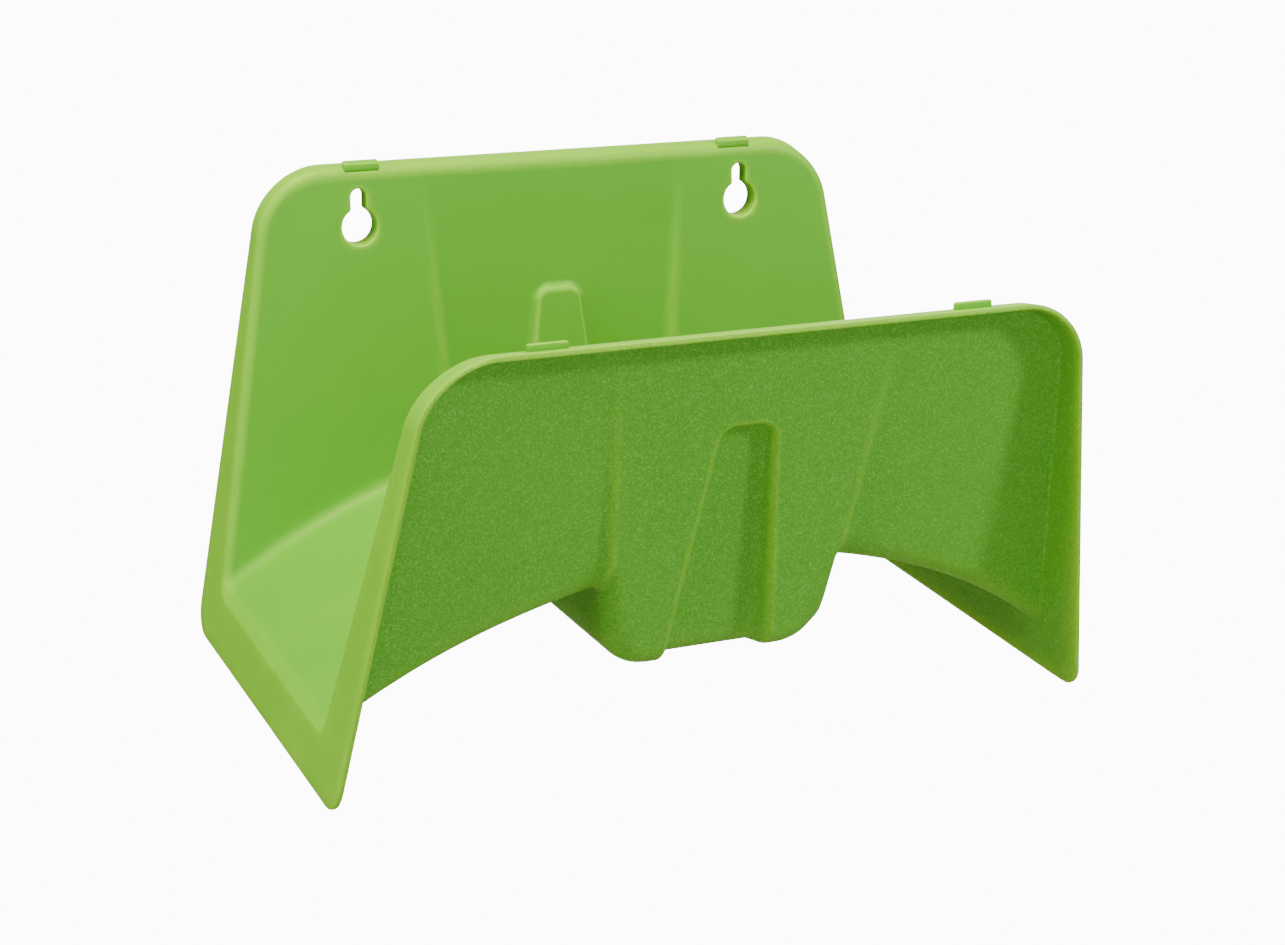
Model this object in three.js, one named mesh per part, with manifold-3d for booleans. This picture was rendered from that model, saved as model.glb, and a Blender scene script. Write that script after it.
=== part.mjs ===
// Wall hanger for a coiled garden hose: one injection-moulded polypropylene shell.
//
// Millimetres, Z up. The wall is the plane Y = 0 and the hanger stands out from it towards -Y.
// The origin lies on the wall, midway between the round openings of the two keyholes.
//
// The shell is one thin sheet. Its hose side is a trough: a back plate, an arched floor and a
// front plate, both plates leaning outwards, with a pocket sunk through the middle of the floor.
// All round its border the sheet turns away from the hose and ends in a free rim.
import * as THREE from "three";
import { mergeVertices } from "three/addons/utils/BufferGeometryUtils.js";
import Module from "manifold-3d";

// ---- Driving dimensions, mm and degrees ----

const WALL = 2; // thickness of the moulding

// Border, seen from the front: a trapezium with rounded top corners.
const FOOT_WIDTH = 231.8; // between the ends, at the back foot
const SIDE_DRAFT = 9.65; // lean of each end, degrees
const BACK_TOP = 18.5; // top of the back plate's flange
const FRONT_TOP = -2.3; // top of the front plate's flange
const TOP_CORNER_R = 21.5;
const FRONT_NARROWING = 1; // how much nearer to the middle each end is at the front rim
const RIM_FLARE = 1.4; // how far the back plate's top rim stands above its fold

// Border, seen from the side: wall, foot and front rim.
const BACK_FOOT = -122.8;
const BACK_FOOT_R = 9;
const FOOT_FALL = 2; // the foot drops towards the front, degrees
const FRONT_REACH = 155.4; // front rim from the wall, at the height of the origin
const RIM_LEAN = 8.5; // lean of the front rim, degrees
const TIP_R = 8;

// Trough for the hose.
const BACK_STAND_OFF = 7.6; // hose side of the back plate from the wall, at the origin's height
const BACK_LEAN = 6.5; // degrees
const FRONT_FACE = 147.2; // hose side of the front plate from the wall, at the origin's height
const FRONT_LEAN = 14.8; // degrees
const FLOOR_AT_BACK = { crown: -70.7, r: 200 }; // the arch where it meets the back plate
const FLOOR_AT_FRONT = { crown: -72.9, r: 188 };
const FLOOR_STEPS = 30;

// Pocket sunk through the middle of the floor, hose side.
const POCKET_FLOOR = -102.2;
const POCKET_HALF_WIDTH = 32.2; // at its floor
const POCKET_DRAFT = 4.7; // degrees
const POCKET_CORNER_R = 13.5;
const POCKET_BULGE = 3.5; // how far it swells past each plate, at its floor

// Ribs that stiffen the middle of each plate, hose side.
const RIB_FLOOR_HALF_WIDTH = 17.8;
const RIB_CORNER_R = 4;
const BACK_RIB = { top: -22.3, halfWidth: 7.2, proudTop: 1.5, proudFloor: 4 };
const FRONT_RIB = { top: -29.9, halfWidth: 9.4, proudTop: 3.5, proudFloor: 6 };

// Keyholes for two wall screws.
const KEYHOLE_SPACING = 127;
const KEYHOLE_R = 5.5;
const KEYHOLE_SLOT_WIDTH = 4.8;
const KEYHOLE_SLOT_TOP = 11.3; // above the centre of the round opening
const KEYHOLE_COLLAR = 2.5; // wall of the collar behind each keyhole
const KEYHOLE_DEPTH = 6.2; // plate and collar together

// Stacking lugs on the two top flanges.
const LUG_LENGTH = 11.2;
const LUG_WIDTH = 2.6;
const LUG_HEIGHT = 2;
const LUG_CENTRE = 61.9; // from the middle
const LUG_FROM_WALL = 4; // middle of the back lugs
const LUG_FROM_FRONT_FOLD = 3.4; // from the front plate's face to the middle of the front lugs

// ---- Values that follow from them ----

const slope = (degrees) => Math.tan(THREE.MathUtils.degToRad(degrees));
const BEYOND = 60; // how far a cutting body runs past what it cuts
const MIDDLE = -FRONT_FACE / 2; // where the back and front halves of the border meet
const FAR_BELOW = BACK_FOOT - BEYOND;

const endX = (z) => FOOT_WIDTH / 2 - (z - BACK_FOOT) * slope(SIDE_DRAFT);
const frontRimY = (z) => -FRONT_REACH - z * slope(RIM_LEAN);
const backFaceY = (z) => -BACK_STAND_OFF + z * slope(BACK_LEAN);
const frontFaceY = (z) => -FRONT_FACE - z * slope(FRONT_LEAN);
const pocketX = (z) => POCKET_HALF_WIDTH + (z - POCKET_FLOOR) * slope(POCKET_DRAFT);
// Share of the way down the pocket: 0 at the top of the plate, 1 at the pocket's floor.
const sunk = (z, top) => (top - z) / (top - POCKET_FLOOR);
const FACING_BACK = Math.cos(THREE.MathUtils.degToRad(BACK_LEAN));
const FACING_FRONT = Math.cos(THREE.MathUtils.degToRad(FRONT_LEAN));
const BACK_FLANGE = -backFaceY(BACK_TOP); // depth of the top flange, from fold to rim
const FRONT_FLANGE = frontFaceY(FRONT_TOP) - frontRimY(FRONT_TOP);
const floorZ = (x, { crown, r }) => crown - r + Math.sqrt(r ** 2 - x ** 2);

// ---- Solids ----

const wasm = await Module();
wasm.setup();

// A closed three.js geometry as a solid that can be joined and cut.
function solid(geometry) {
  const bare = geometry.index ? geometry.toNonIndexed() : geometry.clone();
  bare.deleteAttribute("normal");
  bare.deleteAttribute("uv");
  const merged = mergeVertices(bare, 1e-4);
  return new wasm.Manifold(
    new wasm.Mesh({
      numProp: 3,
      vertProperties: merged.attributes.position.array,
      triVerts: new Uint32Array(merged.index.array),
    }),
  );
}

function geometryOf(body) {
  const mesh = body.getMesh();
  const geometry = new THREE.BufferGeometry();
  geometry.setAttribute("position", new THREE.BufferAttribute(mesh.vertProperties, 3));
  geometry.setIndex(new THREE.BufferAttribute(mesh.triVerts, 1));
  return geometry;
}

// Moves every vertex to the place that place(x, y, z) gives.
function reshape(geometry, place) {
  const points = geometry.getAttribute("position");
  for (let i = 0; i < points.count; i += 1) {
    points.setXYZ(i, ...place(points.getX(i), points.getY(i), points.getZ(i)));
  }
  return geometry;
}

// An outline in X and Z, swept from the front towards the wall. place(x, z, share) puts each of
// its points in space, with share running from 0 to 1 along the sweep.
function sweep(outline, steps, place) {
  const geometry = new THREE.ExtrudeGeometry(outline, {
    depth: 1,
    steps,
    bevelEnabled: false,
    curveSegments: 10,
  });
  // The sweep runs along Y after this turn, which keeps the faces pointing out.
  geometry.rotateX(Math.PI / 2);
  return solid(reshape(geometry, (x, y, z) => place(x, z, 1 + y)));
}

// A four-sided outline, symmetric about X = 0, with its two top or two bottom corners rounded.
function trapezium(top, topHalf, bottom, bottomHalf, { topR = 0, bottomR = 0 }) {
  const corners = [
    { at: new THREE.Vector2(topHalf, top), r: topR },
    { at: new THREE.Vector2(-topHalf, top), r: topR },
    { at: new THREE.Vector2(-bottomHalf, bottom), r: bottomR },
    { at: new THREE.Vector2(bottomHalf, bottom), r: bottomR },
  ];
  return roundedOutline(corners);
}

// An outline through the given corners, anticlockwise, each with its own fillet radius.
function roundedOutline(corners) {
  const outline = new THREE.Shape();
  corners.forEach(({ at, r }, i) => {
    const before = corners.at(i - 1).at.clone().sub(at).normalize();
    const after = corners[(i + 1) % corners.length].at.clone().sub(at).normalize();
    const halfAngle = Math.acos(before.dot(after)) / 2;
    const reach = r / Math.tan(halfAngle);
    const start = at.clone().addScaledVector(before, reach);
    if (i === 0) outline.moveTo(start.x, start.y);
    else outline.lineTo(start.x, start.y);
    if (r > 0) {
      const centre = at.clone().addScaledVector(
        before.clone().add(after).normalize(),
        r / Math.sin(halfAngle),
      );
      const end = at.clone().addScaledVector(after, reach);
      const from = start.clone().sub(centre).angle();
      const to = end.clone().sub(centre).angle();
      outline.absarc(centre.x, centre.y, r, from, to, false);
    }
  });
  outline.closePath();
  return outline;
}

// ---- Border ----

// How far the border has dropped at height z. share runs from 0 at its rim to 1 at its fold.
const dropAt = (z, share) => (RIM_FLARE * share * (z - FAR_BELOW)) / (BACK_TOP - FAR_BELOW);

// The body inside the border, shrunk on its ends and tops by inset. It is made in two halves,
// because the back plate is taller than the front one. over carries it past its rims.
function borderBody(inset, over) {
  const half = (top, flangeDepth, [front, between, back], rimIsFront) => {
    const topZ = top - inset;
    const outline = trapezium(topZ, endX(topZ) - inset, FAR_BELOW, endX(FAR_BELOW) - inset, {
      topR: TOP_CORNER_R - inset,
    });
    return sweep(outline, 2, (x, z, along) => {
      const station = Math.round(along * 2);
      const atRim = station === (rimIsFront ? 0 : 2);
      const y = [front, between, back][station](z);
      const narrowing = (FRONT_NARROWING * -y) / FRONT_REACH;
      return [x - Math.sign(x) * narrowing, y, z - dropAt(z, atRim ? -over / flangeDepth : 1)];
    });
  };
  const middle = () => MIDDLE;
  const frontRim = (z) => frontRimY(z) - over;
  return half(BACK_TOP, BACK_FLANGE, [middle, backFaceY, () => over], false).add(
    half(FRONT_TOP, FRONT_FLANGE, [frontRim, frontFaceY, middle], true),
  );
}

// The border seen from the side, across the whole width: it trims the rims.
function sideTrim() {
  const top = BACK_TOP + BEYOND;
  const rim = { y: -FRONT_REACH, dy: -slope(RIM_LEAN) };
  const foot = { z: BACK_FOOT, dz: slope(FOOT_FALL) };
  const tipY = (rim.y + rim.dy * foot.z) / (1 - rim.dy * foot.dz);
  const corners = [
    { at: new THREE.Vector2(0, top), r: 0 },
    { at: new THREE.Vector2(frontRimY(top), top), r: 0 },
    { at: new THREE.Vector2(tipY, foot.z + foot.dz * tipY), r: TIP_R },
    { at: new THREE.Vector2(0, foot.z), r: BACK_FOOT_R },
  ];
  const geometry = new THREE.ExtrudeGeometry(roundedOutline(corners), {
    depth: 1,
    bevelEnabled: false,
    curveSegments: 10,
  });
  return solid(reshape(geometry, (y, z, across) => [(across - 0.5) * 2 * FOOT_WIDTH, y, z]));
}

// ---- Hose side ----

// The space that the hose fills, between the plates and above the floor, grown by grow.
function trough(grow) {
  const half = FOOT_WIDTH / 2 + BEYOND / 4;
  const box = new THREE.BoxGeometry(2 * half, 1, 1, FLOOR_STEPS, 1, 1);
  return solid(
    reshape(box, (x, y, z) => {
      const atBack = y > 0;
      const floor = floorZ(x, atBack ? FLOOR_AT_BACK : FLOOR_AT_FRONT);
      const height = z > 0 ? BACK_TOP + BEYOND : floor - grow;
      const back = backFaceY(height) + grow / FACING_BACK;
      const front = frontFaceY(height) - grow / FACING_FRONT;
      return [x, atBack ? back : front, height];
    }),
  );
}

// The pocket's hollow, grown by grow. Towards its floor it swells past both plates.
function pocket(grow) {
  const top = BACK_TOP + BEYOND;
  const bottom = POCKET_FLOOR - grow;
  const outline = trapezium(top, pocketX(top) + grow, bottom, pocketX(bottom) + grow, {
    bottomR: POCKET_CORNER_R + grow,
  });
  return sweep(outline, 1, (x, z, along) => {
    const front = frontFaceY(z) - grow / FACING_FRONT - POCKET_BULGE * sunk(z, FRONT_TOP);
    const back = backFaceY(z) + grow / FACING_BACK + POCKET_BULGE * sunk(z, BACK_TOP);
    return [x, along === 0 ? front : back, z];
  });
}

// A rib's body, from its proud face outwards, grown by grow. place(z, proud) is its face.
function rib({ top, halfWidth, proudTop, proudFloor }, grow, outward, faceY) {
  const bottom = POCKET_FLOOR - BEYOND / 4;
  const widen = (RIB_FLOOR_HALF_WIDTH - halfWidth) / (top - POCKET_FLOOR);
  const topZ = top + grow;
  const halfAt = (z) => halfWidth + grow + (top - z) * widen;
  const outline = trapezium(topZ, halfAt(topZ), bottom, halfAt(bottom), {
    topR: RIB_CORNER_R + grow,
  });
  const farY = outward * BEYOND;
  return sweep(outline, 1, (x, z, along) => {
    const proud = THREE.MathUtils.lerp(proudTop, proudFloor, sunk(z, top)) + grow;
    const face = faceY(z) - outward * proud;
    const far = faceY(z) + farY;
    const [front, back] = outward < 0 ? [far, face] : [face, far];
    return [x, along === 0 ? front : back, z];
  });
}

// The whole hollow on the hose side, or that hollow grown by the wall.
function hoseSide(grow) {
  const backRib = rib(BACK_RIB, -grow, 1, backFaceY);
  const frontRib = rib(FRONT_RIB, -grow, -1, frontFaceY);
  return trough(grow).add(pocket(grow)).subtract(backRib).subtract(frontRib);
}

// ---- Keyholes and lugs ----

// A keyhole's outline round (x, 0), grown by grow: a round opening with a slot above it. It
// reaches from fromY(z) to toY.
function keyhole(x, grow, fromY, toY) {
  const r = KEYHOLE_R + grow;
  const half = KEYHOLE_SLOT_WIDTH / 2 + grow;
  const slotCentre = KEYHOLE_SLOT_TOP - KEYHOLE_SLOT_WIDTH / 2;
  const meet = Math.asin(half / r);
  const outline = new THREE.Shape();
  outline.moveTo(x - half, slotCentre);
  outline.absarc(x, 0, r, Math.PI / 2 + meet, Math.PI / 2 - meet, false);
  outline.absarc(x, slotCentre, half, 0, Math.PI, false);
  return sweep(outline, 1, (px, pz, along) => [px, along < 0.5 ? fromY(pz) : toY, pz]);
}

// A lug centred on (x, y) on a top flange, with its foot sunk into the flange.
function lug(x, y, flangeTop) {
  const height = LUG_HEIGHT + WALL / 2;
  const box = new THREE.BoxGeometry(LUG_LENGTH, LUG_WIDTH, height);
  box.translate(x, y, flangeTop + LUG_HEIGHT - height / 2);
  return solid(box);
}

// ---- The moulding ----

function hanger() {
  const sheet = borderBody(0, 0.01).intersect(sideTrim()).subtract(hoseSide(0));
  const outerHollow = borderBody(WALL, BEYOND / 4).subtract(hoseSide(WALL));
  let body = sheet.subtract(outerHollow);

  // Height of a top flange at its lugs.
  const flangeAt = (top, depth, fromFold) => top - dropAt(top, 1 - fromFold / depth);
  const frontLugY = frontFaceY(FRONT_TOP) - LUG_FROM_FRONT_FOLD;
  for (const side of [-1, 1]) {
    const x = (side * KEYHOLE_SPACING) / 2;
    const insidePlate = (z) => backFaceY(z) + WALL / 2;
    const collar = keyhole(x, KEYHOLE_COLLAR, insidePlate, KEYHOLE_DEPTH - BACK_STAND_OFF);
    const opening = keyhole(x, 0, () => -BEYOND / 2, BEYOND / 2);
    body = body.add(collar).subtract(opening);
    const lugX = side * LUG_CENTRE;
    body = body
      .add(lug(lugX, -LUG_FROM_WALL, flangeAt(BACK_TOP, BACK_FLANGE, BACK_FLANGE - LUG_FROM_WALL)))
      .add(lug(lugX, frontLugY, flangeAt(FRONT_TOP, FRONT_FLANGE, LUG_FROM_FRONT_FOLD)));
  }
  return body;
}

const plastic = new THREE.MeshStandardMaterial({ color: 0x6faa3e, roughness: 0.5, metalness: 0 });

const part = new THREE.Group();
const moulding = new THREE.Mesh(geometryOf(hanger()), plastic);
moulding.name = "hose_hanger";
part.add(moulding);

export default part;
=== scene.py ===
import math

import bpy
import numpy as np
from mathutils import Matrix, Vector


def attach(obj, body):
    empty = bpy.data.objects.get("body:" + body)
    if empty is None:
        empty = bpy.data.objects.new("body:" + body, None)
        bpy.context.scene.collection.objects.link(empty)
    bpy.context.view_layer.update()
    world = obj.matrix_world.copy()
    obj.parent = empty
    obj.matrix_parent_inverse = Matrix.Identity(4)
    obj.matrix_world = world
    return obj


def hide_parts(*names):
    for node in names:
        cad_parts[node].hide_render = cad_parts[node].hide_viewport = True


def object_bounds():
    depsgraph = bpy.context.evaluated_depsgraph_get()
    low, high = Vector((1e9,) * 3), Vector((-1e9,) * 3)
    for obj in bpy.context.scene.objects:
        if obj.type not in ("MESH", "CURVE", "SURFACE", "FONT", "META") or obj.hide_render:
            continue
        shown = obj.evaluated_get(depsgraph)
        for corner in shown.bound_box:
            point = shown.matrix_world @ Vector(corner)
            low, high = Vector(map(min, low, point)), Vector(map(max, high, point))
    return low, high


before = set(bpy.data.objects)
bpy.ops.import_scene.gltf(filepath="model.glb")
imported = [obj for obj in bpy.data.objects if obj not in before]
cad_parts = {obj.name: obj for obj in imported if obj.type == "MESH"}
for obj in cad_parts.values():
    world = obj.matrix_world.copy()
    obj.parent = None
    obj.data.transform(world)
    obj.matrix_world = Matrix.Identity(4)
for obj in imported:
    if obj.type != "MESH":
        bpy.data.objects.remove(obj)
cad_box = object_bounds()

# ---------------------------------------------------------------------------------------------
# The moulding. One thin shell of green polypropylene, injection moulded in a single shot: a back
# plate, an arched floor with a sunk pocket, a front plate, and a flange folded away from the hose
# all round. Both of its skins are worked out on one grid of columns (across) and rows (over).
# ---------------------------------------------------------------------------------------------
MM = 0.001
WALL = 2.0
RIM_WALL = 1.45  # the flange thins towards its rim

BACK_RIM_TOP, FRONT_RIM_TOP = 18.5, -2.3
TOP_FLARE = 1.4
TOP_CORNER_REACH = 18.2
FOOT_HALF, BACK_FOOT = 115.9, -122.8
END_SLOPE = math.tan(math.radians(9.65))
FRONT_NARROWING = 1.0
FRONT_REACH, RIM_LEAN = 155.4, math.tan(math.radians(8.5))
FOOT_FALL = math.tan(math.radians(2.0))
BACK_FOOT_R, TIP_R = 9.0, 8.0

BACK = dict(face=-7.6, lean=math.tan(math.radians(6.5)), away=1.0, crown=-70.7, arch_r=200.0,
            fold_top=BACK_RIM_TOP - TOP_FLARE, rib_top=-22.3, rib_half=7.2, rib_proud=(1.7, 4.0))
FRONT = dict(face=-147.2, lean=-math.tan(math.radians(14.8)), away=-1.0, crown=-72.9, arch_r=188.0,
             fold_top=FRONT_RIM_TOP - TOP_FLARE, rib_top=-29.9, rib_half=9.4, rib_proud=(3.5, 6.0))

POCKET_FLOOR, POCKET_HALF = -102.2, 32.2
POCKET_SLOPE = math.tan(math.radians(4.7))
POCKET_CORNER_R, SHOULDER_R = 13.5, 3.4
POCKET_SWELL, SWELL_EDGE = 3.5, 3.4
RIB_FLOOR_HALF, RIB_CORNER_R, RIB_SIDE = 17.8, 4.0, 1.9

FLOOR_FILLET, FOLD_R, INNER_FOLD_R = 4.2, 2.2, 0.6
CIRCLE = 0.5523  # handle length that makes a cubic curve follow a quarter circle


def smooth(v):
    """3v^2 - 2v^3 between 0 and 1, flat outside."""
    v = np.clip(v, 0.0, 1.0)
    return v * v * (3.0 - 2.0 * v)


def end_x(z, y):
    """Half width of the border at height z and depth y: a straight drafted line."""
    return FOOT_HALF - (z - BACK_FOOT) * END_SLOPE + FRONT_NARROWING * y / FRONT_REACH


def rounded(corner, before, after, radius, n):
    """n + 1 points of the arc that rounds a corner between two unit directions leaving it."""
    half = math.acos(np.clip(before @ after, -1, 1)) / 2
    middle = before + after
    centre = corner + middle / np.linalg.norm(middle) * radius / math.sin(half)
    a = corner + before * radius / math.tan(half) - centre
    b = corner + after * radius / math.tan(half) - centre
    turn = math.pi - 2 * half
    u = np.linspace(0, 1, n + 1)[:, None]
    return centre + (np.sin((1 - u) * turn) * a + np.sin(u * turn) * b) / math.sin(turn)


def unit(v):
    """Vectors shortened or stretched to length 1."""
    return v / np.linalg.norm(v, axis=-1, keepdims=True)


def curve(p0, p1, p2, p3, t):
    """Cubic curve through p0 and p3 with handles p1 and p2, at every t."""
    s = 1 - t
    return s ** 3 * p0 + 3 * s * s * t * p1 + 3 * s * t * t * p2 + t ** 3 * p3


# Columns from the middle to one end: pocket floor, its corner, its wall, the shoulder, the arch.
BOTTOM_STEPS = np.concatenate([np.linspace(0, 0.70, 9)[:-1], np.linspace(0.70, 1.0, 13)])
CORNER_N, WALL_N, SHOULDER_N, ARCH_N = 18, 9, 8, 52
# Rows up a plate, from the floor's fillet to the fold; close together where a rib's top comes.
def plate_rows(rib_at):
    """Shares of the way up a plate, 0 to 1, closer together over the rib's top at share rib_at."""
    below = np.linspace(0, rib_at - 0.045, 24)[:-1]
    over_rib = np.linspace(rib_at - 0.045, rib_at + 0.025, 13)[:-1]
    above = np.linspace(rib_at + 0.025, 1.0, 20)
    return np.concatenate([below, over_rib, above])


def floor_line(plate, grow):
    """Right half of the line where the floor meets a plate, as X and Z, lowered by grow: level
    pocket floor, rounded corner, drafted wall, rounded shoulder, then the circle of the arch."""
    crown, arch_r = plate["crown"], plate["arch_r"]
    depth = plate["face"] + plate["lean"] * -100.0

    def wall_x(z):
        """Half width between the pocket's walls at height z: a straight drafted line."""
        return POCKET_HALF + (z - POCKET_FLOOR) * POCKET_SLOPE + grow

    def arch_z(x):
        """Height of the arch at x: a circle of radius arch_r through the crown."""
        return crown - arch_r + np.sqrt((arch_r - grow) ** 2 - x ** 2)

    shoulder_z = crown
    for _ in range(12):
        shoulder_z = arch_z(wall_x(shoulder_z))
    shoulder = np.array([wall_x(shoulder_z), shoulder_z])
    low = POCKET_FLOOR - grow
    corner = np.array([wall_x(low), low])
    up = unit(shoulder - corner)
    fall = shoulder[0] / (arch_r - grow)
    along = unit(np.array([1.0, -fall]))
    corner_arc = rounded(corner, np.array([-1.0, 0.0]), up, POCKET_CORNER_R + grow, CORNER_N)
    shoulder_arc = rounded(shoulder, -up, along, max(SHOULDER_R - grow, 0.8), SHOULDER_N)
    bottom = np.stack([BOTTOM_STEPS * corner_arc[0, 0], 0 * BOTTOM_STEPS + low], 1)
    wall = corner_arc[-1] + (shoulder_arc[0] - corner_arc[-1]) * np.linspace(0, 1, WALL_N + 1)[:, None]
    end = 113.0
    fold_r = INNER_FOLD_R if grow else FOLD_R
    for _ in range(12):
        end = end_x(arch_z(end), depth) - grow
    x0 = shoulder_arc[-1, 0]
    xs = np.append(x0 + (end - fold_r - x0) * np.linspace(0, 1, ARCH_N), end)
    arch = np.stack([xs, arch_z(xs)], 1)
    return np.concatenate([bottom, corner_arc[1:], wall[1:], shoulder_arc[1:], arch[1:]])


def top_line(plate, grow, line):
    """Where each column meets the plate's top fold, before its corner is rounded."""
    z = plate["fold_top"] - grow
    end = end_x(z, plate["face"]) - grow
    b = len(BOTTOM_STEPS) - 1
    fold_r = INNER_FOLD_R if grow else FOLD_R
    stops = [b, b + CORNER_N, b + CORNER_N + WALL_N, b + CORNER_N + WALL_N + SHOULDER_N, len(line) - 2]
    x = np.interp(np.arange(len(line)), stops, [line[b, 0], 31.0, 39.0, 46.0, end - fold_r])
    x[:b] = line[:b, 0]
    x[-1] = end
    return np.stack([x, np.full(len(line), z)], 1)


def round_top_corner(x, z, plate, grow):
    """Slides the points near the border's top corner so that its two straight edges become an
    arc: the corner's square, in steps along the edges, is wound onto a quarter of a disc."""
    top = plate["fold_top"] - grow
    reach = TOP_CORNER_REACH - grow * 0.845
    down = np.array([math.sin(math.atan(END_SLOPE)), -math.cos(math.atan(END_SLOPE))])
    corner_x = end_x(top, plate["face"]) - grow
    q = (z - top) / down[1]
    p = corner_x + q * down[0] - x
    a, b = 1 - p / reach, 1 - q / reach
    inside = (a > 0) & (b > 0)
    m = np.maximum(a, b)
    angle = np.where(a >= b, math.pi / 4 * b / np.where(a == 0, 1, a),
                     math.pi / 2 - math.pi / 4 * a / np.where(b == 0, 1, b))
    p2 = reach * (1 - m * np.cos(angle))
    q2 = reach * (1 - m * np.sin(angle))
    return (np.where(inside, corner_x + q2 * down[0] - p2, x), np.where(inside, top + q2 * down[1], z))


def rib_half(z, plate, grow):
    """Half width of a plate's rib at height z, on the hose side less grow."""
    z = np.minimum(z, plate["rib_top"])
    widen = (RIB_FLOOR_HALF - plate["rib_half"]) / (plate["rib_top"] - POCKET_FLOOR)
    return plate["rib_half"] + (plate["rib_top"] - z) * widen - grow


def plate_y(x, z, plate, grow):
    """Depth of a plate's skin over X and Z: a leaning plane, plus the pocket's swell away from
    the hose and less the rib that stands towards it, both with soft edges."""
    flat = plate["face"] + plate["lean"] * z
    inside = POCKET_HALF + (z - POCKET_FLOOR) * POCKET_SLOPE + grow - np.abs(x)
    sunk = np.clip((plate["fold_top"] - z) / (plate["fold_top"] - POCKET_FLOOR), 0, 1)
    swell = POCKET_SWELL * sunk * smooth(inside / SWELL_EDGE + 0.5)
    # Distance inside the rib's outline: its drafted side and its level top, joined by an arc.
    side = rib_half(z, plate, grow) - np.abs(x)
    head = plate["rib_top"] - grow - z
    r = RIB_CORNER_R
    near = np.hypot(np.minimum(side - r, 0), np.minimum(head - r, 0))
    into = np.where((side < r) & (head < r), r - near, np.minimum(side, head))
    low, high = plate["rib_proud"]
    down = np.clip((plate["rib_top"] - z) / (plate["rib_top"] - POCKET_FLOOR), 0, 1)
    proud = (low + (high - low) * down) * smooth(into / (RIB_SIDE + 0.25 * high * down) + 0.35)
    lean = math.sqrt(1 + plate["lean"] ** 2)
    return flat + plate["away"] * (grow * lean + swell - proud)


def plate_grid(plate, grow, fillet):
    """One plate as rows x columns x 3. Each column leaves the floor line square to it, swings
    upright and climbs to the top fold; the plate's own depth is then read at its X and Z."""
    line = floor_line(plate, grow)
    top = top_line(plate, grow, line)
    along = unit(np.gradient(line, axis=0))
    square = np.stack([-along[:, 1], along[:, 0]], 1)
    b = len(BOTTOM_STEPS) - 1
    k = np.arange(len(line))
    curl = smooth((k - b) / (0.6 * CORNER_N)) * (1 - smooth((line[:, 0] - 38) / 26) * (k > b + CORNER_N))
    curl = curl[:, None]
    climb = top - line
    start = (1 - curl) * climb / 3 + curl * square * 9.0
    finish = (1 - curl) * climb / 3 + curl * np.array([0.0, 1.0]) * climb[:, 1:] * 0.36
    rib_at = (plate["rib_top"] - POCKET_FLOOR) / (plate["fold_top"] - POCKET_FLOOR)
    t0 = fillet / (3 * np.linalg.norm(start, axis=1))
    t1 = 1 - (INNER_FOLD_R if grow else FOLD_R) / (3 * np.linalg.norm(finish, axis=1))
    rows = t0 + (t1 - t0) * plate_rows(rib_at)[:, None]
    rows = np.concatenate([0 * rows[:1], rows, 0 * rows[:1] + 1])[:, :, None]
    xz = curve(line, line + start, top - finish, top, rows)
    x, z = xz[..., 0], xz[..., 1]
    # Columns over the pocket's floor are drawn together to run beside the rib.
    guide, edge = RIB_FLOOR_HALF - grow, 30.0
    half = rib_half(z, plate, grow)
    drawn = np.where(x < guide, x * half / guide, half + (x - guide) * (edge - half) / (edge - guide))
    x = np.where(x < edge, drawn, x)
    x, z = round_top_corner(x, z, plate, grow)
    return np.stack([x, plate_y(x, z, plate, grow), z], -1)


FILLET_STEPS = np.linspace(0, 1, 7)[1:-1, None, None]
FLOOR_STEPS = np.linspace(0, 1, 22)[:, None, None]


def skin(grow):
    """Both plates and the floor as one grid, right half first and then mirrored: down the back
    plate, round a fillet, over the floor, round a fillet, and up the front plate. Its outermost
    rows and columns are the sharp folds; the next ones are where each fold's round begins."""
    fillet = FLOOR_FILLET + grow
    back, front = plate_grid(BACK, grow, fillet), plate_grid(FRONT, grow, fillet)
    b0, f0 = back[0], front[0]
    across = unit(f0 - b0)
    b1, f1 = b0 + across * fillet, f0 - across * fillet
    round_back = curve(back[1], back[1] + (b0 - back[1]) * CIRCLE, b1 + (b0 - b1) * CIRCLE, b1, FILLET_STEPS)
    round_front = curve(f1, f1 + (f0 - f1) * CIRCLE, front[1] + (f0 - front[1]) * CIRCLE, front[1],
                        FILLET_STEPS)
    floor = b1 + (f1 - b1) * FLOOR_STEPS
    right = np.concatenate([back[:0:-1], round_back, floor, round_front, front[1:]])
    left = right[:, :0:-1] * np.array([-1.0, 1.0, 1.0])
    return np.concatenate([left, right], 1)


hose_skin, outer_skin = skin(0.0), skin(WALL)
ROWS, COLS = hose_skin.shape[0] - 2, hose_skin.shape[1] - 2
PLATE_N, ROUND_N, FLOOR_N = len(plate_rows(0.5)), len(FILLET_STEPS), len(FLOOR_STEPS)
BACK["low"] = hose_skin[PLATE_N, -1, 2]
FRONT["low"] = hose_skin[PLATE_N + 2 * ROUND_N + FLOOR_N + 1, -1, 2]


def border(grid, ring):
    """The loop of points round a grid, ring steps in from its outermost row and column."""
    g = grid[ring:grid.shape[0] - ring, ring:grid.shape[1] - ring]
    return np.concatenate([g[0, :-1], g[:-1, -1], g[-1, :0:-1], g[:0:-1, 0]])


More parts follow.
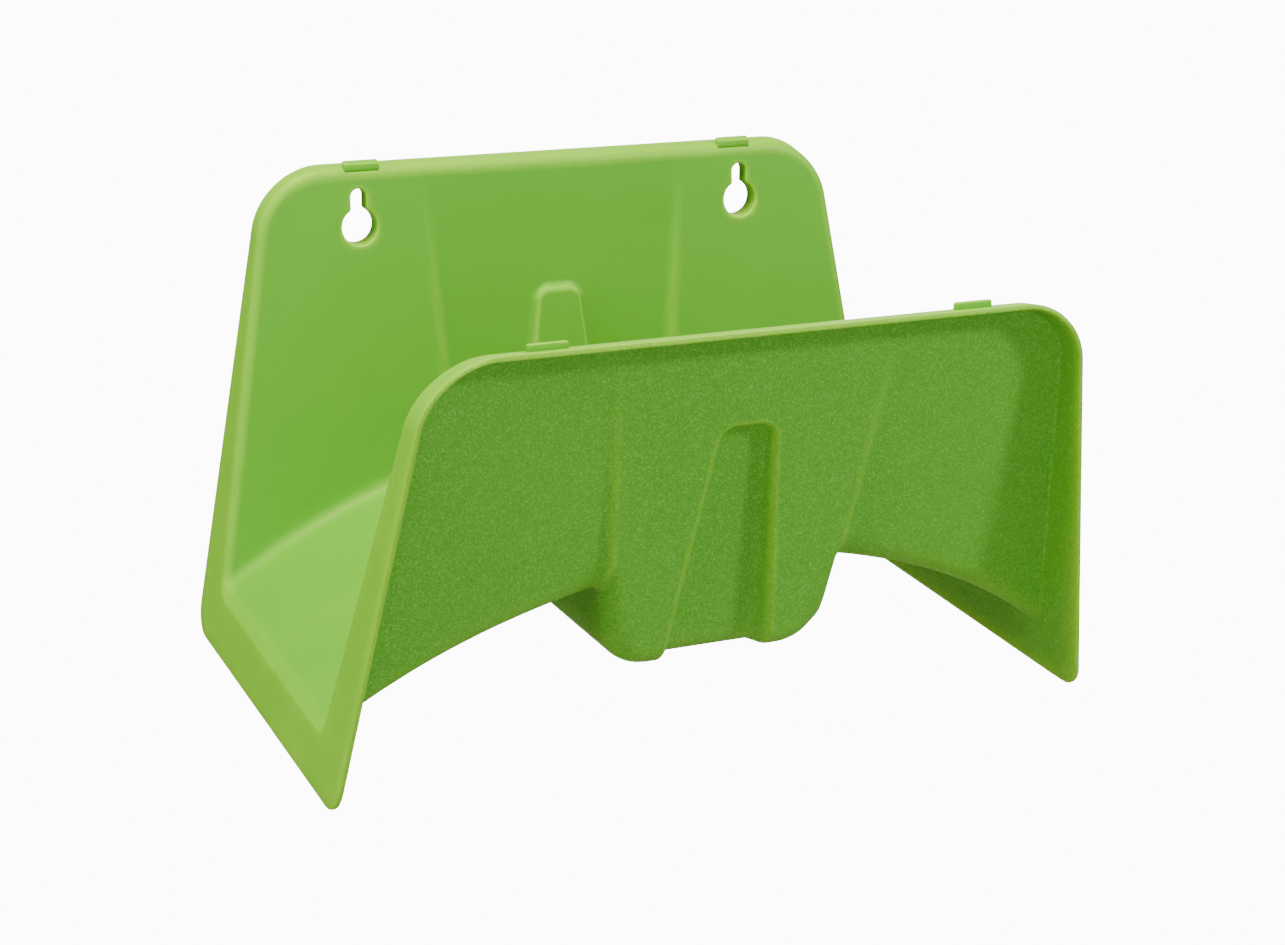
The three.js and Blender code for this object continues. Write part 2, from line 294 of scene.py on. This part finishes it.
def sharp_folds(grid):
    """For every point of the inner loop, the point of the sharp fold straight outside it."""
    top, right, foot, left = grid[0, 1:-2], grid[1:-2, -1], grid[-1, -2:1:-1], grid[-2:1:-1, 0]
    top, right, foot, left = top.copy(), right.copy(), foot.copy(), left.copy()
    top[0], right[0], foot[0], left[0] = grid[0, 0], grid[0, -1], grid[-1, -1], grid[-1, 0]
    return np.concatenate([top, right, foot, left])


def rim_loop(folds):
    """The free rim outside each fold point. Over the plates it keeps the fold's X and Z but for
    the flare; below them it follows the foot, whose two corners are rounded."""
    x, y, z = np.abs(folds[:, 0]), folds[:, 1], folds[:, 2]
    tip_y = (-FRONT_REACH - RIM_LEAN * BACK_FOOT) / (1 + RIM_LEAN * FOOT_FALL)
    heel, tip = np.array([0.0, BACK_FOOT]), np.array([tip_y, BACK_FOOT + FOOT_FALL * tip_y])
    forward, up_front = unit(tip - heel), unit(np.array([-RIM_LEAN, 1.0]))
    heel_arc = rounded(heel, np.array([0.0, 1.0]), forward, BACK_FOOT_R, ROUND_N + 1)
    tip_arc = rounded(tip, -forward, up_front, TIP_R, ROUND_N + 1)
    sole = heel_arc[-1] + (tip_arc[0] - heel_arc[-1]) * FLOOR_STEPS[:, :, 0]
    foot = np.concatenate([heel_arc[:-1], sole, tip_arc[1:]])
    back_z = np.interp(z, [BACK["low"], -34.0, BACK["fold_top"]], [foot[0, 1], -33.0, BACK_RIM_TOP])
    front_z = np.interp(z, [FRONT["low"], -34.0, FRONT["fold_top"]], [foot[-1, 1], -33.0, FRONT_RIM_TOP])
    is_back = y > -73.0
    rim_z = np.where(is_back, back_z, front_z)
    rim_y = np.where(is_back, 0.0, -FRONT_REACH - RIM_LEAN * front_z)
    rim_x = x * end_x(rim_z, rim_y) / end_x(z, y)
    across, over = COLS - 1, ROWS - 1
    for start, step in ((across + PLATE_N - 1, 1), (2 * across + 2 * over - PLATE_N + 1, -1)):
        ends = start + step * np.arange(len(foot))
        rim_x[ends], rim_y[ends], rim_z[ends] = end_x(foot[:, 1], foot[:, 0]), foot[:, 0], foot[:, 1]
    return np.stack([np.sign(folds[:, 0]) * rim_x, rim_y, rim_z], 1)


def flange_loops(grid, folds, rims, fold_r):
    """Loops from a skin's edge round its fold, on a quarter of a circle, and straight to the rim."""
    edge, out = border(grid, 1), unit(rims - folds)
    flat = folds + out * fold_r
    fold = curve(edge, edge + (folds - edge) * CIRCLE, flat + (folds - flat) * CIRCLE, flat,
                 np.linspace(0, 1, 6)[1:, None, None])
    return list(fold) + [flat + (rims - flat) * u for u in (0.25, 0.5, 0.75)]


hose_folds, outer_folds = sharp_folds(hose_skin), sharp_folds(outer_skin)
hose_rim = rim_loop(hose_folds)
to_rim = unit(hose_rim - hose_folds)
run = np.roll(hose_folds, -1, 0) - np.roll(hose_folds, 1, 0)
facing = unit(np.cross(to_rim, run))
facing *= np.sign((facing * (hose_folds - [0, -75, -55])).sum(1, keepdims=True))
outer_rim = hose_rim - facing * RIM_WALL
NIP = 0.35  # small round on both edges of the rim
loops = flange_loops(hose_skin, hose_folds, hose_rim, FOLD_R)
loops += [hose_rim - to_rim * NIP, hose_rim - (to_rim + facing) * NIP * 0.29, hose_rim - facing * NIP,
          outer_rim + facing * NIP, outer_rim + (facing - to_rim) * NIP * 0.29, outer_rim - to_rim * NIP]
loops += flange_loops(outer_skin, outer_folds, outer_rim, INNER_FOLD_R)[::-1]

# Both skins and every loop between them, as one list of points and of four-sided faces.
inner = slice(1, -1)
points = [hose_skin[inner, inner].reshape(-1, 3), outer_skin[inner, inner].reshape(-1, 3)] + loops
number = np.arange(ROWS * COLS).reshape(ROWS, COLS)
edge_run = border(number[:, :, None], 0)[:, 0]
loop_starts = 2 * ROWS * COLS + np.arange(len(loops)) * len(edge_run)
chain = [edge_run] + [start + np.arange(len(edge_run)) for start in loop_starts] + [edge_run + ROWS * COLS]


def strip(a, b):
    """Faces between two closed loops of the same length."""
    return np.stack([a, np.roll(a, -1), np.roll(b, -1), b], 1)


def patch(ids):
    """Faces of a grid of point numbers."""
    return np.stack([ids[:-1, :-1], ids[1:, :-1], ids[1:, 1:], ids[:-1, 1:]], -1)


# The keyholes: each takes a block of cells out of both skins, and loops join the block's edge to
# the opening, through the plate and over the collar behind it.
KEYHOLE_X, KEYHOLE_R, SLOT_HALF, SLOT_TOP = 63.5, 5.5, 2.4, 11.3
COLLAR, COLLAR_BACK = 1.2, -1.4
BLOCK_HALF = 9.5
# Painted highlight round each keyhole: the share of painted highlight on each loop from the plate into the
# opening, brightest on the opening's rim.
HOLE_HIGHLIGHT = (0, 0, 0.3, 1, 1, 0.6)  # edge share of the loops from the plate into the opening


def keyhole_outline(x0, grow, shares):
    """Points at the given shares of the way round a keyhole, clockwise from its top: the slot's
    end arc, its side, and the round opening, then the same mirrored."""
    r, half = KEYHOLE_R + grow, SLOT_HALF + grow
    a = np.linspace(0, math.pi / 2, 24)
    meet = math.asin(half / r)
    b = np.linspace(meet, math.pi, 60)
    right = np.concatenate([np.stack([half * np.sin(a), SLOT_TOP - SLOT_HALF + half * np.cos(a)], 1),
                            np.stack([r * np.sin(b), r * np.cos(b)], 1)])
    whole = np.concatenate([right, right[-2::-1] * [-1, 1]])
    far = np.concatenate([[0], np.cumsum(np.linalg.norm(np.diff(whole, axis=0), axis=1))])
    return np.stack([x0 + np.interp(shares * far[-1], far, whole[:, 0]),
                     np.interp(shares * far[-1], far, whole[:, 1])], 1)


hose_faces = patch(number)
keep = np.ones(hose_faces.shape[:2], bool)
extra_faces, hole_loops = [], []
count = sum(len(p) for p in points)
plate_part = hose_skin[1:PLATE_N + 1, 1:-1]
for x0 in (-KEYHOLE_X, KEYHOLE_X):
    level = np.argmin(np.abs(plate_part[:, COLS // 2, 2]))
    c0, c1 = np.searchsorted(plate_part[level, :, 0], [x0 - BLOCK_HALF, x0 + BLOCK_HALF])
    r0, r1 = 1, int(np.searchsorted(-plate_part[:, (c0 + c1) // 2, 2], BLOCK_HALF))
    keep[r0:r1, c0:c1] = False
    block = number[r0:r1 + 1, c0:c1 + 1]
    ring = border(block[:, :, None], 0)[:, 0]
    ring = np.roll(ring, -int(np.argmin(np.abs(points[0][ring[:c1 - c0], 0] - x0))))
    hose_rect = points[0][ring]
    sides = np.linalg.norm(np.roll(hose_rect, -1, 0) - hose_rect, axis=1)
    shares = (np.cumsum(sides) - sides) / sides.sum()

    def on_skin(start, grow, share, plate_grow, lift=0.0):
        """A loop part of the way from the block's edge to the opening, laid on one skin."""
        xz = start[:, [0, 2]] + (keyhole_outline(x0, grow, shares) - start[:, [0, 2]]) * share
        return np.stack([xz[:, 0], plate_y(xz[:, 0], xz[:, 1], BACK, plate_grow) + lift, xz[:, 1]], 1)

    def at_depth(grow, y):
        """The keyhole's outline, grown, at one depth behind the plate's face."""
        xz = keyhole_outline(x0, grow, shares)
        return np.stack([xz[:, 0], np.full(len(xz), y), xz[:, 1]], 1)

    rear_rect = points[1][ring]
    hole = [on_skin(hose_rect, 0.6, 0.45, 0), on_skin(hose_rect, 0.6, 0.8, 0), on_skin(hose_rect, 0.6, 1, 0),
            on_skin(hose_rect, 0.3, 1, 0, 0.06), on_skin(hose_rect, 0.09, 1, 0, 0.25),
            on_skin(hose_rect, 0, 1, 0, 0.6),
            at_depth(0, -3.0), at_depth(0, COLLAR_BACK - 0.3), at_depth(0.3, COLLAR_BACK),
            at_depth(COLLAR - 0.3, COLLAR_BACK), at_depth(COLLAR, COLLAR_BACK - 0.3),
            on_skin(rear_rect, COLLAR, 1, WALL, 0.3), on_skin(rear_rect, COLLAR + 0.2, 1, WALL),
            on_skin(rear_rect, COLLAR + 0.2, 0.5, WALL)]
    hole_size = len(ring)
    hole_loops += [(count + i * hole_size, highlight_share) for i, highlight_share in enumerate(HOLE_HIGHLIGHT)]
    ids = [count + i * hole_size + np.arange(hole_size) for i in range(len(hole))]
    ids = [ring] + ids + [ring + ROWS * COLS]
    count += len(hole) * hole_size
    points += hole
    extra_faces += [strip(b, a) for a, b in zip(ids, ids[1:])]

faces = [hose_faces[keep], hose_faces[keep][:, ::-1] + ROWS * COLS] + extra_faces
faces += [strip(a, b) for a, b in zip(chain, chain[1:])]
points, faces = np.concatenate(points), np.concatenate(faces)
used, faces = np.unique(faces, return_inverse=True)
points, faces = points[used], faces.reshape(-1, 4)
points = np.clip(points, [-FOOT_HALF, -FRONT_REACH + 0.4, BACK_FOOT - 4.45], [FOOT_HALF, 0.0, BACK_RIM_TOP])

# Two shares between 0 and 1 at each point. grained is 1 on the skin turned away from the hose, whose half of
# the mould is spark eroded; edge is the share of painted highlight, up to 1 on the folds, the rims and the
# keyholes' edges.
# Painted highlight share of each loop round the border: rising round the hose side's fold, paler over the
# flange, brightest on the rim, a little on the outer flange beside the rim and none further in.
LOOP_HIGHLIGHT = (0.05, 0.2, 0.5, 0.6, 0.5, 0.45, 0.45, 0.5, 0.8, 1.0, 1.0, 1.0, 1.0, 0.9, 0.25,
               0, 0, 0, 0, 0, 0, 0)
FIRST_OUTER_LOOP = 11
grained, edge = np.zeros(count), np.zeros(count)
grained[ROWS * COLS:2 * ROWS * COLS] = 1.0
for i, start in enumerate(loop_starts):
    spot = slice(start, start + len(edge_run))
    grained[spot] = float(i >= FIRST_OUTER_LOOP)
    edge[spot] = LOOP_HIGHLIGHT[i]
for start, highlight_share in hole_loops:
    edge[start:start + hole_size] = highlight_share
grained, edge = grained[used], edge[used]


def make_mesh(name, xyz, quads):
    """A mesh object at the origin from points in millimetres and four-sided faces."""
    mesh = bpy.data.meshes.new(name)
    mesh.from_pydata((xyz * MM).tolist(), [], quads.tolist())
    mesh.polygons.foreach_set("use_smooth", np.ones(len(quads), bool))
    mesh.update()
    obj = bpy.data.objects.new(name, mesh)
    bpy.context.scene.collection.objects.link(obj)
    return obj


def convex_share(obj, xyz, quads):
    """How sharply the surface bends outwards at each point, 0 to 1: along every face edge, the
    change of normal against the step taken, which is one over the radius of the bend."""
    normal = np.empty(xyz.size, np.float32)
    obj.data.vertices.foreach_get("normal", normal)
    a, b = quads.ravel(), np.roll(quads, -1, 1).ravel()
    step, turn = xyz[b] - xyz[a], np.diff(normal.reshape(-1, 3)[np.stack([a, b])], axis=0)[0]
    bend = (step * turn).sum(1) / np.maximum((step ** 2).sum(1), 0.01)
    share = np.zeros(len(xyz))
    np.maximum.at(share, a, bend)
    np.maximum.at(share, b, bend)
    return np.clip((share - 0.05) / 0.20, 0, 1)


moulding = make_mesh("moulded_shell", points, faces)
# Painted highlight on convex creases: the edge share is raised where the surface bends outwards, and concave
# creases get none.
CREASE_HIGHLIGHT = 0.55
edge = np.maximum(edge, CREASE_HIGHLIGHT * convex_share(moulding, points, faces))


def set_shares(obj, **shares):
    """Writes one number a point, under each given name, for the material to read."""
    for name, values in shares.items():
        attribute = obj.data.attributes.new(name, "FLOAT", "POINT")
        attribute.data.foreach_set("value", np.asarray(values, np.float32))


set_shares(moulding, grained=grained, edge=edge)
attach(moulding, "root")
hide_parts("hose_hanger")


def shader_group(name, inputs, outputs):
    """An empty shader node group with named sockets: each is (name, type, default)."""
    tree = bpy.data.node_groups.new(name, "ShaderNodeTree")
    for direction, sockets in (("INPUT", inputs), ("OUTPUT", outputs)):
        for label, kind, value in sockets:
            socket = tree.interface.new_socket(label, in_out=direction, socket_type="NodeSocket" + kind)
            if value is not None:
                socket.default_value = value
    return tree, tree.nodes.new("NodeGroupInput"), tree.nodes.new("NodeGroupOutput")


def node(tree, kind, links=(), **settings):
    """Adds a node, sets its properties, and links or sets its inputs by name or number."""
    made = tree.nodes.new("ShaderNode" + kind)
    for key, value in settings.items():
        setattr(made, key, value)
    for key, value in dict(links).items():
        if isinstance(value, bpy.types.NodeSocket):
            tree.links.new(value, made.inputs[key])
        else:
            made.inputs[key].default_value = value
    return made


def maths(tree, operation, a, b):
    """The result of one operation on two numbers or sockets."""
    return node(tree, "Math", {0: a, 1: b}, operation=operation).outputs[0]


def noise(tree, vector, scale, detail, **more):
    """Noise between 0 and 1 at a scale in cells per metre; more sets the node's other inputs."""
    inputs = {"Vector": vector, "Scale": scale, "Detail": detail, **more}
    return node(tree, "TexNoise", inputs).outputs[0]


def spread(tree, value, low, high, to_low=0.0):
    """value stretched so that low to high becomes to_low to 1, and held there outside."""
    inputs = {"Value": value, "From Min": low, "From Max": high, "To Min": to_low}
    return node(tree, "MapRange", inputs).outputs["Result"]


def mixed(tree, share, a, b):
    """Colour a turned into colour b by share; a colour mix keeps its colours in sockets 6 and 7."""
    return node(tree, "Mix", {0: share, 6: a, 7: b}, data_type="RGBA").outputs[2]


# Spark-eroded grain: the fine pitted texture that an etched mould leaves, as a height and as a
# mask of the pits, fading to the polished half's faint ripple where Amount is 0.
grain, grain_in, grain_out = shader_group(
    "spark_eroded_grain",
    [("Vector", "Vector", None), ("Amount", "Float", 1.0), ("Pitch", "Float", 1700.0)],
    [("Height", "Float", None), ("Pits", "Float", None)])
place, pitch, amount = (grain_in.outputs[name] for name in ("Vector", "Pitch", "Amount"))
fine = noise(grain, place, pitch, 3.0, Roughness=0.62)
wide = noise(grain, place, maths(grain, "MULTIPLY", pitch, 0.32), 2.0)
ripple = maths(grain, "MULTIPLY", noise(grain, place, 90.0, 1.0), 0.12)
etched = maths(grain, "ADD", fine, maths(grain, "MULTIPLY", wide, 0.08))
height = maths(grain, "ADD", maths(grain, "MULTIPLY", etched, amount), ripple)
pits = maths(grain, "MULTIPLY", spread(grain, etched, 0.52, 0.70), amount)
grain.links.new(height, grain_out.inputs["Height"])
grain.links.new(pits, grain_out.inputs["Pits"])

# Painted highlight on the thin edges: the folds, rims, convex creases and keyholes' edges, where light
# catches them and shines through the thin polypropylene, are painted paler and yellower; uneven along their
# length, with a few rubbed spots of real wear.
HIGHLIGHT_GREEN, RUBBED_GREEN = (0.26, 0.58, 0.010, 1), (0.36, 0.66, 0.06, 1)
highlight_and_wear, paling_in, paling_out = shader_group(
    "painted_edge_highlight_and_wear",
    [("Vector", "Vector", None), ("Color", "Color", (0.1, 0.3, 0.03, 1)),
     ("Edge", "Float", 0.0), ("Strength", "Float", 0.6)],
    [("Color", "Color", None), ("Rubbed", "Float", None)])
place, plain, at_edge, strength = (
    paling_in.outputs[name] for name in ("Vector", "Color", "Edge", "Strength"))
uneven = spread(highlight_and_wear, noise(highlight_and_wear, place, 60.0, 3.0), 0.3, 0.7, to_low=0.7)
spots = spread(highlight_and_wear, noise(highlight_and_wear, place, 420.0, 4.0, Roughness=0.7), 0.60, 0.70)
highlight_share = maths(highlight_and_wear, "MULTIPLY", maths(highlight_and_wear, "MULTIPLY", at_edge, strength), uneven)
rubbed = maths(highlight_and_wear, "MULTIPLY", spots, maths(highlight_and_wear, "MULTIPLY", at_edge, 0.35))
# The painted highlight colour, mixed in by the edge share.
pale = mixed(highlight_and_wear, highlight_share, plain, HIGHLIGHT_GREEN)
highlight_and_wear.links.new(mixed(highlight_and_wear, rubbed, pale, RUBBED_GREEN), paling_out.inputs["Color"])
highlight_and_wear.links.new(rubbed, paling_out.inputs["Rubbed"])

DEEP_GREEN, LIGHT_GREEN = (0.066, 0.300, 0.012, 1), (0.078, 0.325, 0.015, 1)
GRAIN_GREEN, GRAIN_TONE = (0.160, 0.455, 0.055, 1), 0.85
SATIN, GRAIN_ROUGHER, RUBBED_ROUGHER = 0.50, 0.08, 0.2


def polypropylene(name):
    """Satin green polypropylene: slow colour drift from the melt, grained on the etched half, with painted
    highlight on its edges.
    """
    material = bpy.data.materials.new(name)
    material.use_nodes = True
    tree = material.node_tree
    plastic = tree.nodes["Principled BSDF"]
    place = node(tree, "TexCoord").outputs["Object"]
    etched_half = node(tree, "Attribute", attribute_name="grained").outputs["Fac"]
    highlight_mask = node(tree, "Attribute", attribute_name="edge").outputs["Fac"]
    surface = node(tree, "Group", node_tree=grain)
    tree.links.new(place, surface.inputs["Vector"])
    tree.links.new(etched_half, surface.inputs["Amount"])
    drift = spread(tree, noise(tree, place, 14.0, 2.0, Distortion=0.6), 0.3, 0.7)
    tone = maths(tree, "MULTIPLY", surface.outputs["Pits"], GRAIN_TONE)
    green = mixed(tree, tone, mixed(tree, drift, DEEP_GREEN, LIGHT_GREEN), GRAIN_GREEN)
    # Painted highlight on the edges, from the edge share, mixed into the base colour, with rubbed spots of
    # real wear.
    edges = node(tree, "Group", node_tree=highlight_and_wear)
    for socket, value in (("Vector", place), ("Color", green), ("Edge", highlight_mask)):
        tree.links.new(value, edges.inputs[socket])
    tree.links.new(edges.outputs["Color"], plastic.inputs["Base Color"])
    gloss = maths(tree, "ADD", maths(tree, "MULTIPLY", etched_half, GRAIN_ROUGHER), SATIN)
    gloss = maths(tree, "ADD", gloss, maths(tree, "MULTIPLY", edges.outputs["Rubbed"], RUBBED_ROUGHER))
    tree.links.new(gloss, plastic.inputs["Roughness"])
    plastic.inputs["IOR"].default_value = 1.49
    plastic.inputs["Specular IOR Level"].default_value = 0.25
    bump = node(tree, "Bump", {"Height": surface.outputs["Height"], "Strength": 1.0, "Distance": 0.0004})
    tree.links.new(bump.outputs["Normal"], plastic.inputs["Normal"])
    return material


moulding.data.materials.append(polypropylene("green_polypropylene"))

# ---------------------------------------------------------------------------------------------
# Stacking lugs: four small blocks moulded with the top flanges, two behind and two in front, that
# keep a stack of hangers from jamming together. Drafted sides and rounded tops, same plastic.
# ---------------------------------------------------------------------------------------------
LUG_X, LUG_HALF, LUG_HEIGHT, LUG_SUNK = 61.9, np.array([5.6, 1.3]), 1.95, 0.8
LUG_DRAFT, LUG_ROUND, LUG_CORNER = 0.12, 0.45, 0.6


def lug(x0, y0):
    """Rings up a lug: a rectangle with quarter-circle corners, drawn in by the draft and then by
    a quarter circle at the top, its feet sunk in the flange and following the flange's slope."""
    near = (np.abs(points[:, :2] - [x0, y0]) < [LUG_HALF[0], 1.5]).all(1) & (points[:, 2] > -12)
    flange = points[near][points[near, 2] > points[near, 2].max() - 1.0]
    slope, level = np.polyfit(flange[:, 1] - y0, flange[:, 2], 1)
    bend, quarter = np.linspace(0, math.pi / 2, 6), np.linspace(0, math.pi / 2, 6)
    shoulder = LUG_HEIGHT + LUG_SUNK - LUG_ROUND
    up = np.concatenate([[0, 0.5 * shoulder], shoulder + LUG_ROUND * np.sin(bend)]) - LUG_SUNK
    draw = np.concatenate([[0, 0.5 * LUG_DRAFT], LUG_DRAFT + LUG_ROUND * (1 - np.cos(bend))])
    turn = np.concatenate([quarter + k * math.pi / 2 for k in range(4)])
    corner = np.repeat([[1, 1], [-1, 1], [-1, -1], [1, -1]], 6, 0)
    ring = corner * (LUG_HALF - LUG_CORNER) + LUG_CORNER * np.stack([np.cos(turn), np.sin(turn)], 1)
    xy = ring * (1 - draw[:, None, None] / LUG_HALF)
    z = np.minimum(level + up[:, None] + slope * xy[..., 1], cad_box[1][2] / MM - 0.02)
    return np.stack([x0 + xy[..., 0], y0 + xy[..., 1], z], -1)


lug_rings = np.stack([lug(side * LUG_X, y) for side in (-1, 1) for y in (-4.0, -150.0)])
lug_ids = np.arange(lug_rings[0, ..., 0].size).reshape(lug_rings.shape[1:3])
half = np.arange(lug_ids.shape[1] // 2 - 1)
lid = np.stack([half, half + 1, lug_ids.shape[1] - 2 - half, lug_ids.shape[1] - 1 - half], 1)
lug_faces = np.concatenate([strip(a, b) for a, b in zip(lug_ids, lug_ids[1:])]
                           + [lug_ids[-1][lid], lug_ids[0][lid[:, ::-1]]])
lug_faces = (lug_faces + np.arange(4)[:, None, None] * lug_ids.size).reshape(-1, 4)
lugs = make_mesh("stacking_lugs", lug_rings.reshape(-1, 3), lug_faces)
# Painted highlight round each lug's rounded top: the edge share of each ring from foot to top, brightest on
# the shoulder's round.
lug_highlight = np.broadcast_to(np.array([0, 0.1, 0.4, 0.9, 1, 0.8, 0.5, 0.3])[:, None], lug_ids.shape)
set_shares(lugs, edge=np.tile(lug_highlight.ravel(), 4), grained=np.zeros(lug_highlight.size * 4))
lugs.data.materials.append(polypropylene("green_polypropylene_lugs"))
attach(lugs, "root")
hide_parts("hose_hanger")

# ---------------------------------------------------------------------------------------------
# Studio: a pale floor far below, a white surround, soft lights, and the camera.
# ---------------------------------------------------------------------------------------------
floor_mesh = bpy.data.meshes.new("studio_floor")
floor_mesh.from_pydata([(-6, -6, -0.6), (6, -6, -0.6), (6, 6, -0.6), (-6, 6, -0.6)], [], [(0, 1, 2, 3)])
studio_floor = bpy.data.objects.new("studio_floor", floor_mesh)
bpy.context.scene.collection.objects.link(studio_floor)
floor_paint = bpy.data.materials.new("floor_paint")
floor_paint.use_nodes = True
paint = floor_paint.node_tree
matt = paint.nodes["Principled BSDF"]
matt.inputs["Base Color"].default_value = (0.30, 0.30, 0.30, 1)
glow = node(paint, "Emission", {"Color": (1, 1, 1, 1), "Strength": 12.0})
seen = node(paint, "LightPath").outputs["Is Camera Ray"]
shown = node(paint, "MixShader", {0: seen, 1: matt.outputs[0], 2: glow.outputs[0]})
paint.links.new(shown.outputs[0], paint.nodes["Material Output"].inputs["Surface"])
floor_mesh.materials.append(floor_paint)

world = bpy.data.worlds.new("surround")
world.use_nodes = True
world.node_tree.nodes["Background"].inputs["Color"].default_value = (1, 1, 1, 1)
sky = world.node_tree
seen = node(sky, "LightPath").outputs["Is Camera Ray"]
strength = node(sky, "MapRange", {"Value": seen, "To Min": 0.30, "To Max": 12.0}).outputs["Result"]
sky.links.new(strength, sky.nodes["Background"].inputs["Strength"])
bpy.context.scene.world = world


def soft_light(name, azimuth, elevation, distance, size, power, tint=(1, 1, 1)):
    """A square area light aimed at the hanger's middle; azimuth 0 is in front, + to the right."""
    light = bpy.data.lights.new(name, "AREA")
    light.size, light.energy, light.color = size, power, tint
    lamp = bpy.data.objects.new(name, light)
    az, el = math.radians(azimuth), math.radians(elevation)
    away = np.array([math.sin(az) * math.cos(el), -math.cos(az) * math.cos(el), math.sin(el)])
    middle = np.array([0.0, -0.075, -0.055])
    lamp.location = middle + away * distance
    lamp.rotation_euler = Vector(away).to_track_quat("Z", "Y").to_euler()
    bpy.context.scene.collection.objects.link(lamp)


soft_light("key", 48, 28, 1.2, 0.12, 10.5)
soft_light("overhead", -60, 80, 1.2, 0.6, 50, (1.0, 0.74, 0.20))
soft_light("side", -82, 18, 1.4, 0.7, 18, (1.0, 0.92, 0.50))
soft_light("fill", -15, 4, 1.6, 1.0, 12)
soft_light("behind", 150, 16, 1.8, 1.0, 8, (1.0, 0.9, 0.6))

camera_data = bpy.data.cameras.new("camera")
camera_data.lens, camera_data.sensor_width = 68.7, 36.0
camera_data.shift_x, camera_data.shift_y = 0.0088, -0.0024
camera = bpy.data.objects.new("camera", camera_data)
camera.matrix_world = Matrix(((0.9111, 0.1107, -0.3970, -0.2887), (-0.4118, 0.2791, -0.8675, -0.6970),
                              (0.0148, 0.9539, 0.2999, 0.1520), (0, 0, 0, 1)))
bpy.context.scene.collection.objects.link(camera)
bpy.context.scene.camera = camera
